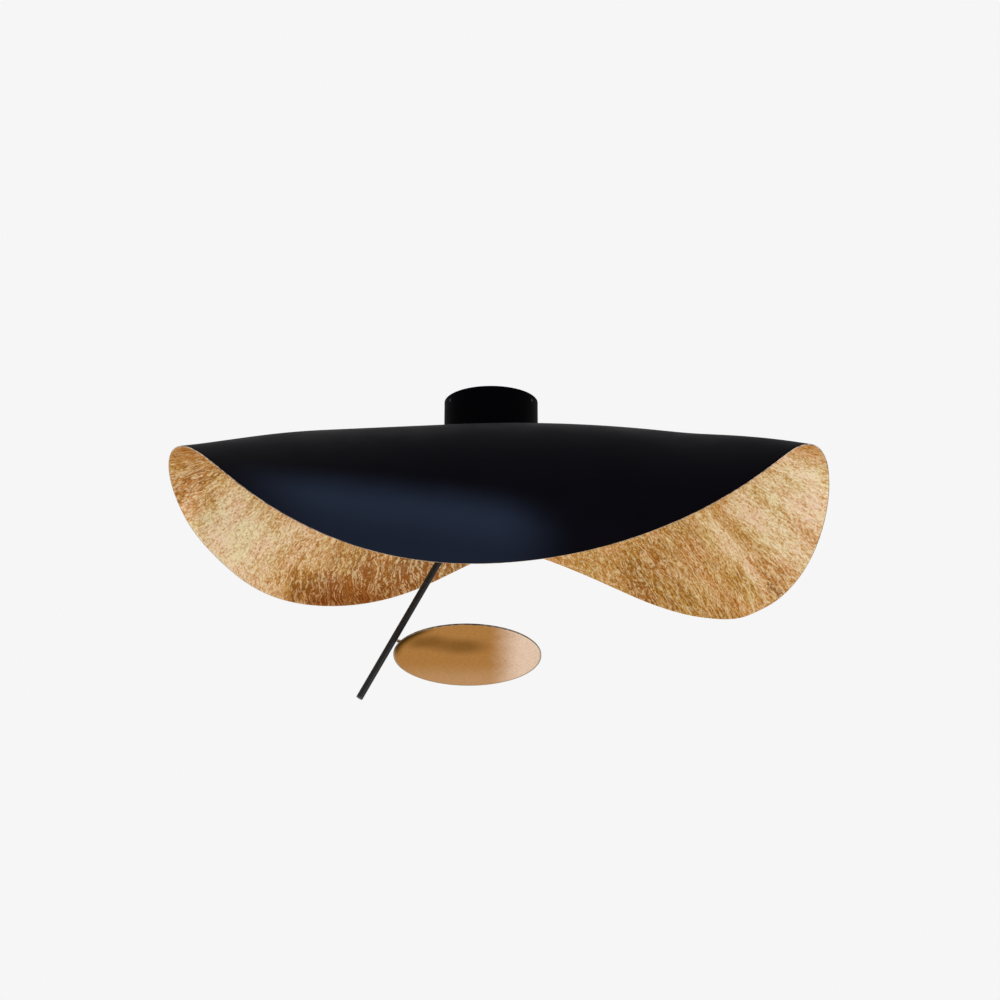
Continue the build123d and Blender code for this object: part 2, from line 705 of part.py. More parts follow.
def lamp_ring():
    """Round wall of the light module, with a ledge, three feet and a lead hole."""
    outer = LAMP_D / 2
    inner = outer - LAMP_WALL
    wall = ring(outer, inner, LAMP_TOP, PAN_Z)
    wall -= drum(outer - 3, LAMP_TOP, LENS_LEDGE)
    foot = block((inner, outer + 9), (-4.5, 4.5), (PAN_Z, PAN_Z + FOOT_T))
    foot = fillet(foot.edges().filter_by(Axis.Z).sort_by(Axis.X)[-2:], 4)
    foot -= Pos(outer + LAMP_STUD_OUT, 0, 0) * drum(STUD_R, 8, PAN_Z)
    foot -= drum(inner, PAN_Z + 5, PAN_Z)
    for copy in around(foot, LAMP_HEADINGS):
        wall += copy
    screw_hole = Pos(outer - LENS_SCREW_IN, 0, 0) * drum(
        LENS_SCREW_R, LAMP_TOP, LAMP_TOP - 5
    )
    for copy in around(screw_hole, LENS_SCREW_HEADINGS):
        wall -= copy
    wall -= Pos(0, 0, LEAD_Z) * along_x(drum(LEAD_BORE_R, -outer + 8, -outer - 1))
    return DISH * wall


def lamp_nuts():
    nut = Pos(LAMP_D / 2 + LAMP_STUD_OUT, 0, 0) * stud_nut()
    return [DISH * copy for copy in around(nut, LAMP_HEADINGS)]


def heat_spreader():
    return DISH * drum(LAMP_D / 2 - LAMP_WALL - 0.1, PAN_Z + SPREADER_T, PAN_Z)


def led_board():
    return DISH * drum(BOARD_R, BOARD_TOP, BOARD_TOP - BOARD_T)


def led_chips():
    length, width, height = CHIP
    chip = block(
        (-length / 2, length / 2), (-width / 2, width / 2), (BOARD_TOP, BOARD_TOP + height)
    )
    chips = []
    for radius, count in LED_RINGS:
        headings = [360 * i / count for i in range(count)]
        chips += around(Pos(radius, 0, 0) * chip, headings)
    return [DISH * copy for copy in chips]


def diffuser_lens():
    """Opal cover with a low crown, resting on the lamp ring's ledge."""
    radius = LAMP_D / 2 - 3.1
    top = LENS_LEDGE + LENS_T
    plate = drum(radius, top, LENS_LEDGE)
    rim_r = radius - 6
    ball_r = (rim_r**2 + LENS_CROWN**2) / (2 * LENS_CROWN)
    cap = Pos(0, 0, top + LENS_CROWN - ball_r) * Sphere(ball_r)
    cap &= drum(rim_r, top + LENS_CROWN, top - 1)
    return DISH * (plate + cap)


def lens_ring():
    """Trim ring that holds the cover down."""
    outer = LAMP_D / 2
    trim = ring(outer, outer - 8, LENS_TOP, LAMP_TOP)
    trim += ring(outer - 3.3, outer - 8, LAMP_TOP, LENS_LEDGE + LENS_T)
    trim = chamfer(trim.edges().group_by(Axis.Z)[-1], 0.5)
    hole = Pos(outer - LENS_SCREW_IN, 0, 0) * drum(LENS_SCREW_R, LENS_TOP, LAMP_TOP)
    for copy in around(hole, LENS_SCREW_HEADINGS):
        trim -= copy
    return DISH * trim


def lens_screws():
    screw = drum(LENS_SCREW_R, LENS_TOP, LENS_TOP - 6)
    screw += drum(1.4, LENS_TOP + 0.8, LENS_TOP)
    screw = Pos(LAMP_D / 2 - LENS_SCREW_IN, 0, 0) * screw
    return [DISH * copy for copy in around(screw, LENS_SCREW_HEADINGS)]


def dish_lead():
    """Short lead from the hollow pin through the lamp ring to the board."""
    start = (-BEARING_X[0] + CLIP_GAP + 4.5, 0, 0)
    end = (3 - BOARD_R, 0, LEAD_Z)
    return DISH * lead([start, (-54, 0, 0), (-51, 0, LEAD_Z), end], LEAD_D, 3)


NODES = (
    mounting_plate,
    tab_nuts,
    canopy_cup,
    canopy_set_screws,
    cable_bush,
    led_driver,
    driver_screws,
    terminal_block,
    terminal_screws,
    earth_screw,
    earth_lead,
    input_leads,
    output_lead,
    canopy_gasket,
    wave_shade,
    clamp_plate,
    stop_pin,
    clamp_screws,
    clamp_nuts,
    swivel_fork,
    thrust_washer,
    stem_washer,
    stem_nut,
    knuckle_bolt,
    knuckle_nut,
    knuckle_washers,
    arm_eye,
    arm_tube,
    arm_end_plug,
    pivot_sleeve,
    pivot_pin,
    pin_clip,
    arm_lead,
    dish_pan,
    pin_block,
    friction_bush,
    foot_nuts,
    lamp_ring,
    lamp_nuts,
    heat_spreader,
    led_board,
    led_chips,
    diffuser_lens,
    lens_ring,
    lens_screws,
    dish_lead,
)

os.makedirs("parts", exist_ok=True)
for node in NODES:
    export(node.__name__, node())
print("pivot", Vector(0, 0, PIVOT_Z), "knuckle axis", KNUCKLE_AXIS)
print("pin point", PIN_POINT, "pin axis", PIN_AXIS, "dish", DISH.position)
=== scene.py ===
import json
import math
from collections import namedtuple

import bpy
import numpy as np
from mathutils import Matrix, Quaternion, Vector


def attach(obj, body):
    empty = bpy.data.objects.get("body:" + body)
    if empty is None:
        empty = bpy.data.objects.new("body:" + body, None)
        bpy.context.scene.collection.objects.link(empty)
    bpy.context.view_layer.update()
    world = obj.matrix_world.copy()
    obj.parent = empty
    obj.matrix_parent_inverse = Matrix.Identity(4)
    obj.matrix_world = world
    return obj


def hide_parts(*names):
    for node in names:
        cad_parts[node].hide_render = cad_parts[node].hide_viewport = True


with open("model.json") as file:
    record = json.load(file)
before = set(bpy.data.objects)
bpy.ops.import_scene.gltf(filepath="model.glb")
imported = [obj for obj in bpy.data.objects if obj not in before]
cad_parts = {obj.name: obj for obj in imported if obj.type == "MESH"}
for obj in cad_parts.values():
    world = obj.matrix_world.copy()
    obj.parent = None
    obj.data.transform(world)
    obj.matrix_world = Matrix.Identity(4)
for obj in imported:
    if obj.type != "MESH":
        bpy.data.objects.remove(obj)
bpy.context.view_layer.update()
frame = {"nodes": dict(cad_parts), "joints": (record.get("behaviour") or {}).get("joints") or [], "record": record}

bl_info = {
    "name": "Bent Disc Ceiling Light",
    "version": (1, 0, 0),
    "blender": (4, 5, 0),
    "location": "View3D > Sidebar > Ceiling Light",
    "description": "Makes the looks of a ceiling light with a bent disc shade",
    "category": "Object",
}

# Everything is in metres. The origin is on the ceiling, +Z points up into it,
# and the shade's low front flap faces -Y.

SLOT_OF_NODE = {
    part["node"]: part["material_slot"] for part in frame["record"]["subparts"]
}

# A bend rolls everything past a straight line that lies square to heading, in
# degrees from +X. Past it the sheet curls down to radius, or up where radius is
# negative, and the curl builds up over the length ease.
Bend = namedtuple("Bend", "heading start radius ease")
BENDS = (
    Bend(heading=31.7, start=0.2788, radius=-0.2095, ease=0.0400),
    Bend(heading=120.0, start=0.3437, radius=0.1667, ease=0.0400),
    Bend(heading=150.9, start=0.1132, radius=0.2295, ease=0.1030),
    Bend(heading=214.2, start=0.2920, radius=-0.2385, ease=0.2136),
    Bend(heading=26.2, start=0.1744, radius=0.1572, ease=0.0402),
    Bend(heading=0.1, start=0.2211, radius=-1.9760, ease=0.0588),
    Bend(heading=-30.3, start=0.2999, radius=-0.5429, ease=0.0417),
    Bend(heading=-42.5, start=0.0701, radius=1.1960, ease=0.0402),
    Bend(heading=-97.0, start=0.0702, radius=0.2779, ease=0.0407),
)
CURL_STEPS = 24

# Middle of the flat disc from the canopy's axis, and the height where it is clamped
SHADE_OFFSET = (0.01715, -0.02122)
SEAT_Z = -0.086
SCREW_HEADINGS = (30, 150, 270)

# The disc's mesh starts with a flat middle of this radius, where its holes are cut
MIDDLE_R = 0.042
HOLE_SEGMENTS = 48
DRILL_LENGTH = 0.02
FLAT_MAP = "flat_sheet"

# Painted bluish sheen on the front flap, a painted reflection in the lacquer's colour,
# placed on the flat sheet: it begins at a slanting line (distance towards -Y, and how
# much that changes along X), softly, ends at both sides, and fades a little towards the rim
PAINTED_SHEEN_LINE = (0.410, 0.28)
PAINTED_SHEEN_SOFT = (-0.030, 0.038)
PAINTED_SHEEN_ENDS = ((0.085, -0.030), (-0.390, -0.230))
PAINTED_SHEEN_FADE = (0.03, 0.09, 1.0, 0.6)

# Wedge of a round sheet around a heading, and the distances from its middle where it
# starts and where it is full
Wedge = namedtuple("Wedge", "heading half_width start full")

# Wedges of painted highlight (paler leaf) and of painted shade (darker leaf), and how much each moves the tone
PAINTED_LIGHT_WEDGES = (
    (Wedge(170, 18, 0.36, 0.44), 0.36),
    (Wedge(151, 12, 0.32, 0.38), 0.14),
    (Wedge(-175, 7, 0.42, 0.46), -0.14),
    (Wedge(142, 9, 0.430, 0.465), -0.40),
    (Wedge(1, 7, 0.34, 0.38), 0.30),
    (Wedge(16, 4, 0.33, 0.37), 0.30),
    (Wedge(14, 6, 0.45, 0.48), -0.24),
    (Wedge(-13, 9, 0.36, 0.42), 0.34),
    (Wedge(-24, 9, 0.38, 0.44), 0.14),
    (Wedge(124, 18, 0.38, 0.46), -0.34),
    (Wedge(106, 14, 0.36, 0.46), -0.34),
    (Wedge(-166, 9, 0.40, 0.46), -0.06),
    (Wedge(68, 12, 0.40, 0.46), -0.06),
    (Wedge(49, 14, 0.32, 0.44), -0.14),
    (Wedge(32, 8, 0.44, 0.47), -0.08),
)

# Brush strokes of the leaf: how often they change round the sheet, per radian, and
# outwards, per metre
FINE_STROKES = (105, 170)
LONG_STROKES = (46, 24)
BROAD_STROKES = (34, 12)

# How much each layer moves the leaf's tone, and the tones of the three leaf colours
TONE_START = -0.56
BAND_WEIGHT = 0.6
PATCH_WEIGHT = 0.85
MOTTLE_WEIGHT = 0.45
GRAIN_WEIGHT = 0.34
CRINKLE_WEIGHT = 0.36
DARK_TONE, LEAF_TONE, PALE_TONE = 0.06, 0.46, 0.92
WARM_HUE = (1.04, 0.93, 0.90, 1.0)
GREEN_HUE = (1.0, 1.03, 0.88, 1.0)
# How strongly the bright streaks show along the raised strokes; they are partly the leaf's paler strokes and
# partly painted highlights
GLINT_SHARE = 0.62

# The dish hangs on a pin, and its own axis is rolled about that pin
DISH_ROLL = -11
PIN_TO_CENTRE = 0.1167

# The dish's own X axis, along its pin, lies at this heading. Places of painted shade
# on its underside are given as seen from below, square to the front: middles, and one
# over the half sizes. The heading of the dark edge band is in the dish's own plane.
PIN_HEADING = 22
PAINTED_SHADE_SPOTS = (
    ((-0.008, -0.036, 0), (18, 24, 0)),
    ((-0.056, -0.050, 0), (17, 26, 0)),
)
DARK_EDGE_BAND = Wedge(-170, 36, 0.095, 0.110)

# Painted pinkish highlight sets in along Y, painted pale highlight along X, and the pale
# line at the rim lies at these distances from the middle, on the far side only
FAR_HIGHLIGHT_FROM = (0.015, 0.095)
SIDE_HIGHLIGHT_FROM = (0.030, 0.085)
PALE_RIM_RING = (0.1070, 0.1082)
PALE_RIM_FROM = (-0.040, 0.010)

# The dish's mesh, and its studs for the pin's block and for the lamp
DISH_SEGMENTS = 192
DISH_RINGS = 24
STUD_SEGMENTS = 24
FOOT_STUDS = ((-0.074, 0.011), (-0.074, -0.011))
LAMP_STUD_R = 0.0545
LAMP_STUD_HEADINGS = (0, 120, 240)

# Soft square lamps, and the stage
SoftBox = namedtuple("SoftBox", "name place aim size power")
LAMPS = (
    SoftBox("key", (-1.6, -2.4, -1.3), (0, 0, -0.2), 1.6, 34),
    SoftBox("fill", (2.4, -1.6, -0.6), (0.1, 0, -0.2), 1.8, 22),
)
FLOOR_SIZE = 14
CAMERA_PLACE = (0.0138, -2.2611, -0.8935)
SENSOR_WIDTH = 36


def colour_property(name, description, default):
    return bpy.props.FloatVectorProperty(
        name=name,
        description=description,
        subtype="COLOR",
        size=3,
        min=0,
        max=1,
        default=default,
    )


def length_property(name, description, default):
    return bpy.props.FloatProperty(
        name=name,
        description=description,
        default=default,
        min=0,
        precision=4,
        subtype="DISTANCE",
        unit="LENGTH",
    )


class ShadeSettings(bpy.types.PropertyGroup):
    radius: length_property("Radius", "Radius of the flat disc before it is bent", 0.5)
    thickness: length_property("Thickness", "Thickness of the sheet", 0.002)
    edge_round: length_property("Edge rounding", "Rounding of the cut rim", 0.0005)
    stem_hole: length_property("Stem hole", "Radius of the hole for the stem", 0.0055)
    screw_hole: length_property("Screw hole", "Radius of each screw hole", 0.0028)
    screw_circle: length_property("Screw circle", "Radius of the screw circle", 0.028)
    segments: bpy.props.IntProperty(
        name="Segments", description="Segments round the disc", default=288, min=64
    )
    rings: bpy.props.IntProperty(
        name="Rings", description="Rings between the middle and the rim", default=76
    )
    outside: colour_property(
        "Outside", "Lacquer of the outside", (0.0021, 0.0018, 0.0032)
    )
    pale_leaf: colour_property("Pale leaf", "Palest gold leaf", (0.95, 0.82, 0.62))
    mid_leaf: colour_property("Leaf", "Gold leaf", (0.62, 0.335, 0.105))
    dark_leaf: colour_property("Dark leaf", "Darkest gold leaf", (0.31, 0.122, 0.030))
    # Colour of the painted bluish sheen on the front flap, a painted reflection
    painted_sheen_colour: colour_property("Bloom", "Bluish coat of the front flap", (0.0122, 0.0176, 0.0325))
    # Colour of the bright streaks along the raised strokes: partly the leaf's own paler tone, partly painted
    # highlights
    stroke_glint: colour_property("Bright stroke", "Raised strokes", (1.0, 0.83, 0.51))
    rim: colour_property("Rim", "Cut rim of the sheet", (0.40, 0.28, 0.19))


class DishSettings(bpy.types.PropertyGroup):
    radius: length_property("Radius", "Radius of the dish", 0.110)
    top: length_property("Top", "Depth of the pan's top under the pin axis", 0.005)
    thickness: length_property("Thickness", "Thickness at the edge", 0.0015)
    lip: length_property("Lip", "Height and width of the thick edge", 0.0025)
    stud_radius: length_property("Stud", "Radius of each stud", 0.0015)
    stud_height: length_property("Stud height", "Height of each stud", 0.0055)
    gold: colour_property("Gold", "Gold of the underside", (0.51, 0.265, 0.100))
    # The next three colours are a painted pinkish highlight, a painted pale highlight and painted shade on the
    # underside; the fourth is a paler line at the rim
    far_highlight_gold: colour_property("Peach gold", "Gold of the far side", (0.63, 0.385, 0.21))
    side_highlight_gold: colour_property("Pale gold", "Worn gold", (0.93, 0.74, 0.60))
    shade_gold: colour_property("Dark gold", "Tarnished gold", (0.27, 0.135, 0.055))
    pale_rim: colour_property("Bare edge", "Rubbed line at the rim", (0.46, 0.42, 0.37))
    black: colour_property("Black", "Lacquer of the top", (0.006, 0.006, 0.007))


class StageSettings(bpy.types.PropertyGroup):
    backdrop: colour_property("Backdrop", "Colour behind", (0.9216, 0.9216, 0.9216))
    daylight: bpy.props.FloatProperty(
        name="Daylight", description="Strength of the even light", default=0.85, min=0
    )
    floor_drop: length_property("Floor", "Depth of the floor below the ceiling", 2.4)
    camera_focal: bpy.props.FloatProperty(
        name="Focal length", description="Camera focal length", default=56.16
    )
    camera_tilt: bpy.props.FloatProperty(
        name="Camera tilt",
        description="How far the camera looks up",
        default=math.radians(18.02),
        subtype="ANGLE",
        unit="ROTATION",
    )


def select_only(piece):
    bpy.ops.object.select_all(action="DESELECT")
    piece.select_set(True)
    bpy.context.view_layer.objects.active = piece


def apply_place(piece):
    """Put the piece's place into its mesh, so that its object sits at the origin."""
    select_only(piece)
    bpy.ops.object.transform_apply(location=True, rotation=True, scale=True)


def turned_piece(name, profile, segments):
    """Round piece on the Z axis: a ring is drawn out step by step along a profile."""
    radius, height = profile[0]
    bpy.ops.object.select_all(action="DESELECT")
    bpy.ops.mesh.primitive_circle_add(
        vertices=segments, radius=radius, fill_type="NGON", location=(0, 0, height)
    )
    piece = bpy.context.object
    piece.name = piece.data.name = name
    apply_place(piece)
    bpy.ops.object.mode_set(mode="EDIT")
    bpy.ops.mesh.select_mode(type="EDGE")
    bpy.ops.mesh.select_all(action="SELECT")
    for new_radius, new_height in profile[1:]:
        rise = (0, 0, new_height - height)
        bpy.ops.mesh.extrude_edges_move(TRANSFORM_OT_translate={"value": rise})
        grow = new_radius / radius
        bpy.ops.transform.resize(
            value=(grow, grow, 1), center_override=(0, 0, new_height)
        )
        radius, height = new_radius, new_height
    return piece


def close_turned_piece():
    """Fill the last ring and turn every face outwards."""
    bpy.ops.mesh.edge_face_add()
    bpy.ops.mesh.select_all(action="SELECT")
    bpy.ops.mesh.normals_make_consistent(inside=False)
    bpy.ops.object.mode_set(mode="OBJECT")


def cut_hole(piece, radius, place):
    """Drill a round hole along Z through a flat sheet."""
    bpy.ops.object.select_all(action="DESELECT")
    bpy.ops.mesh.primitive_cylinder_add(
        vertices=HOLE_SEGMENTS, radius=radius, depth=DRILL_LENGTH, location=(*place, 0)
    )
    drill = bpy.context.object
    select_only(piece)
    bpy.ops.object.modifier_add(type="BOOLEAN")
    modifier = piece.modifiers[-1]
    modifier.operation = "DIFFERENCE"
    modifier.solver = "EXACT"
    modifier.object = drill
    bpy.ops.object.modifier_apply(modifier=modifier.name)
    bpy.data.objects.remove(drill)


def curl(length, bend):
    """Angle that the sheet has turned through after a length of one bend."""
    eased = length**2 / (2 * bend.ease * bend.radius)
    return np.where(length < bend.ease, eased, (length - bend.ease / 2) / bend.radius)


def roll_sheet(points, bend):
    """Take the points past a bend's line round the bend."""
    heading = math.radians(bend.heading)
    across = np.array((math.cos(heading), math.sin(heading)))
    past = points[:, :2] @ across - bend.start
    moved = past > 0
    length = past[moved]
    step = length / CURL_STEPS
    turns = curl(np.outer(step, np.arange(CURL_STEPS) + 0.5), bend)
    forward = step * np.cos(turns).sum(axis=1)
    drop = step * np.sin(turns).sum(axis=1)
    end = curl(length, bend)
    depth = points[moved, 2]
    points[moved, :2] += np.outer(forward - length + depth * np.sin(end), across)
    points[moved, 2] = depth * np.cos(end) - drop


def bend_sheet(piece):
    """Bend the flat slab as the real sheet is rolled."""
    points = np.empty(len(piece.data.vertices) * 3)
    piece.data.vertices.foreach_get("co", points)
    points = points.reshape(-1, 3)
    points[:, :2] += SHADE_OFFSET
    for bend in BENDS:
        roll_sheet(points, bend)
    points[:, 2] += SEAT_Z
    piece.data.vertices.foreach_set("co", points.ravel())
    piece.data.update()


def map_flat_sheet(piece):
    """Keep each point's place on the flat disc, in metres, as a UV map."""
    layer = piece.data.uv_layers.new(name=FLAT_MAP)
    points = piece.data.vertices
    for loop in piece.data.loops:
        layer.data[loop.index].uv = points[loop.vertex_index].co.xy


def select_edges(piece, wanted):
    """In edit mode, select the edges whose two ends pass a test."""
    bpy.ops.mesh.select_all(action="DESELECT")
    bpy.ops.object.mode_set(mode="OBJECT")
    points = piece.data.vertices
    for edge in piece.data.edges:
        edge.select = all(wanted(points[i].co) for i in edge.vertices)
    bpy.ops.object.mode_set(mode="EDIT")


def add(tree, kind, sockets=None, **settings):
    """New shader node with its settings and inputs; an input may be a link."""
    made = tree.nodes.new("ShaderNode" + kind)
    for name, value in settings.items():
        setattr(made, name, value)
    for name, value in (sockets or {}).items():
        socket = made.inputs[name]
        if isinstance(value, bpy.types.NodeSocket):
            tree.links.new(value, socket)
        else:
            socket.default_value = value
    return made


def blank(name, constants):
    """New material with its constants set on the shader's own sockets."""
    material = bpy.data.materials.new(name)
    material.use_nodes = True
    tree = material.node_tree
    shader = tree.nodes["Principled BSDF"]
    for label, value in constants.items():
        shader.inputs[label].default_value = value
    return material, tree, shader


def object_place(tree):
    return add(tree, "TexCoord").outputs["Object"]


def noise(tree, vector, scale, detail=2.0, roughness=0.5):
    made = add(
        tree,
        "TexNoise",
        {"Vector": vector, "Scale": scale, "Detail": detail, "Roughness": roughness},
    )
    return made.outputs["Fac"]


def spread(tree, value, low, high, to_low=0.0, to_high=1.0):
    """Smoothly carry a value from one range to another."""
    made = add(
        tree,
        "MapRange",
        {
            "Value": value,
            "From Min": low,
            "From Max": high,
            "To Min": to_low,
            "To Max": to_high,
        },
        interpolation_type="SMOOTHSTEP",
    )
    return made.outputs["Result"]


def math_node(tree, operation, *values):
    made = add(tree, "Math", dict(enumerate(values)), operation=operation)
    return made.outputs[0]


def blend_colour(tree, factor, first, second, mode="MIX"):
    made = add(tree, "Mix", data_type="RGBA", blend_type=mode)
    for index, value in ((0, factor), (6, first), (7, second)):
        socket = made.inputs[index]
        if isinstance(value, bpy.types.NodeSocket):
            tree.links.new(value, socket)
        else:
            socket.default_value = value
    return made.outputs[2]


def opaque(colour):
    return (*colour, 1.0)


def scaled(colour, factor):
    return tuple(min(1.0, channel * factor) for channel in colour[:3]) + (1.0,)


def raise_surface(tree, shader, height, strength, distance):
    bump = add(
        tree, "Bump", {"Height": height, "Strength": strength, "Distance": distance}
    )
    tree.links.new(bump.outputs["Normal"], shader.inputs["Normal"])


def lacquer(name, colour, roughness, gloss, add_painted_sheen=None):
    """Satin sprayed lacquer: faint orange peel, and dust that dulls it a little."""
    material, tree, shader = blank(name, {"Specular IOR Level": gloss})
    place = object_place(tree)
    cloud = noise(tree, place, 14, detail=4)
    colour_out = blend_colour(
        tree, spread(tree, cloud, 0.3, 0.7), scaled(colour, 0.85), scaled(colour, 1.15)
    )
    # Optional painted sheen: a painted reflection laid over the lacquer's colour
    if add_painted_sheen:
        colour_out = add_painted_sheen(tree, colour_out)
    tree.links.new(colour_out, shader.inputs["Base Color"])
    dull = spread(tree, cloud, 0.3, 0.7, roughness - 0.04, roughness + 0.05)
    tree.links.new(dull, shader.inputs["Roughness"])
    peel = noise(tree, place, 900, detail=1)
    raise_surface(tree, shader, peel, 0.12, 0.0003)
    return material


def metal(name, colour, roughness, grain=(1, 1, 1), wear=0.25):
    """Bare or plated metal with fine grain along one way and cloudy wear."""
    material, tree, shader = blank(name, {"Metallic": 1.0})
    place = object_place(tree)
    stretched = add(tree, "Mapping", {"Vector": place, "Scale": grain})
    lines = noise(tree, stretched.outputs[0], 700, detail=3)
    cloud = noise(tree, place, 60, detail=5)
    mixed = math_node(tree, "MULTIPLY_ADD", lines, 0.4, cloud)
    colour_out = blend_colour(
        tree,
        spread(tree, mixed, 0.45, 0.95),
        scaled(colour, 1 - wear),
        scaled(colour, 1 + wear / 3),
    )
    tree.links.new(colour_out, shader.inputs["Base Color"])
    dull = spread(tree, mixed, 0.4, 1.0, roughness - 0.08, roughness + 0.14)
    tree.links.new(dull, shader.inputs["Roughness"])
    raise_surface(tree, shader, lines, 0.15, 0.0002)
    return material


def moulded(name, colour, roughness, texture=350.0, depth=0.2):
    """Moulded plastic, nylon or rubber with a fine spark-eroded texture."""
    material, tree, shader = blank(name, {"Specular IOR Level": 0.4})
    place = object_place(tree)
    cloud = noise(tree, place, 40, detail=3)
    colour_out = blend_colour(
        tree, spread(tree, cloud, 0.25, 0.75), scaled(colour, 0.88), scaled(colour, 1.08)
    )
    tree.links.new(colour_out, shader.inputs["Base Color"])
    dull = spread(tree, cloud, 0.3, 0.7, roughness - 0.06, roughness + 0.08)
    tree.links.new(dull, shader.inputs["Roughness"])
    raise_surface(tree, shader, noise(tree, place, texture, detail=2), depth, 0.0003)
    return material


def striped_sheath(name, ground, stripe):
    """Earth wire's sheath in two colours that wind along it."""
    material, tree, shader = blank(name, {"Specular IOR Level": 0.4})
    place = object_place(tree)
    bands = add(
        tree,
        "TexWave",
        {"Vector": place, "Scale": 55.0, "Distortion": 1.5, "Detail": 1.0},
        bands_direction="DIAGONAL",
    )
    colour_out = blend_colour(
        tree,
        spread(tree, bands.outputs["Fac"], 0.45, 0.55),
        opaque(ground),
        opaque(stripe),
    )
    tree.links.new(colour_out, shader.inputs["Base Color"])
    dull = spread(tree, noise(tree, place, 80), 0.3, 0.7, 0.4, 0.52)
    tree.links.new(dull, shader.inputs["Roughness"])
    raise_surface(tree, shader, noise(tree, place, 200), 0.1, 0.0003)
    return material


def opal(name, colour):
    """Opal diffuser: milky all through, satin on the outside."""
    material, tree, shader = blank(
        name, {"Subsurface Weight": 0.6, "Subsurface Scale": 0.004}
    )
    place = object_place(tree)
    cloud = noise(tree, place, 30, detail=2)
    colour_out = blend_colour(tree, cloud, scaled(colour, 0.95), scaled(colour, 1.0))
    tree.links.new(colour_out, shader.inputs["Base Color"])
    dull = spread(tree, cloud, 0.3, 0.7, 0.28, 0.36)
    tree.links.new(dull, shader.inputs["Roughness"])
    raise_surface(tree, shader, noise(tree, place, 1200), 0.05, 0.0002)
    return material


def scale_vector(tree, vector, factor):
    made = add(tree, "VectorMath", {0: vector, "Scale": factor}, operation="SCALE")
    return made.outputs["Vector"]


def add_vectors(tree, first, second):
    return add(tree, "VectorMath", {0: first, 1: second}, operation="ADD").outputs[0]


def wandering(tree, vector, scale, reach, detail=2.0):
    """Small random shift of a place, up to half of reach each way."""
    made = add(tree, "TexNoise", {"Vector": vector, "Scale": scale, "Detail": detail})
    centred = add(
        tree,
        "VectorMath",
        {0: made.outputs["Color"], 1: (0.5, 0.5, 0.5)},
        operation="SUBTRACT",
    )
    return scale_vector(tree, centred.outputs[0], reach)


def fan_direction(tree, flat):
    """Direction from the middle of the sheet, as a unit vector, and the distance."""
    distance = add(tree, "VectorMath", {0: flat}, operation="LENGTH").outputs["Value"]
    unit = add(tree, "VectorMath", {0: flat}, operation="NORMALIZE").outputs["Vector"]
    return unit, distance


def inside_wedge(tree, unit, distance, wedge):
    """From 0 outside a wedge to 1 in its middle, with soft borders."""
    heading = math.radians(wedge.heading)
    towards = (math.cos(heading), math.sin(heading), 0)
    along = add(tree, "VectorMath", {0: unit, 1: towards}, operation="DOT_PRODUCT")
    edge = math.cos(math.radians(wedge.half_width))
    middle = math.cos(math.radians(wedge.half_width * 0.3))
    side = spread(tree, along.outputs["Value"], edge, middle)
    out = spread(tree, distance, wedge.start, wedge.full)
    return math_node(tree, "MULTIPLY", side, out)


def brushed_vector(tree, unit, distance, drift, strokes):
    """Vector for noise that is drawn out along the brush strokes of the leaf."""
    around, outwards = strokes
    long = add(
        tree, "CombineXYZ", {"Z": math_node(tree, "MULTIPLY", distance, outwards)}
    ).outputs[0]
    base = add_vectors(tree, scale_vector(tree, unit, around), long)
    return add_vectors(tree, base, drift)


def veins(tree, value, width):
    """Thin lines where a noise passes its middle value."""
    gap = math_node(tree, "ABSOLUTE", math_node(tree, "SUBTRACT", value, 0.5))
    return spread(tree, gap, width, 0.0)


def painted_blue_sheen(settings):
    """Painted bluish sheen, a painted reflection, on the lower left of the front flap, with soft borders."""

    def add_painted_sheen(tree, colour):
        flat = add(tree, "UVMap", uv_map=FLAT_MAP).outputs["UV"]
        flat = add_vectors(tree, flat, wandering(tree, flat, 9.0, 0.02))
        place = add(tree, "SeparateXYZ", {0: flat}).outputs
        slant = math_node(tree, "MULTIPLY", place["X"], PAINTED_SHEEN_LINE[1])
        below = math_node(tree, "ADD", place["Y"], slant)
        below = math_node(tree, "SUBTRACT", -PAINTED_SHEEN_LINE[0], below)
        amount = spread(tree, below, *PAINTED_SHEEN_SOFT)
        for end in PAINTED_SHEEN_ENDS:
            ending = spread(tree, place["X"], *end)
            amount = math_node(tree, "MULTIPLY", amount, ending)
        fading = spread(tree, below, *PAINTED_SHEEN_FADE)
        amount = math_node(tree, "MULTIPLY", amount, fading)
        return blend_colour(tree, amount, colour, opaque(settings.painted_sheen_colour))

    return add_painted_sheen


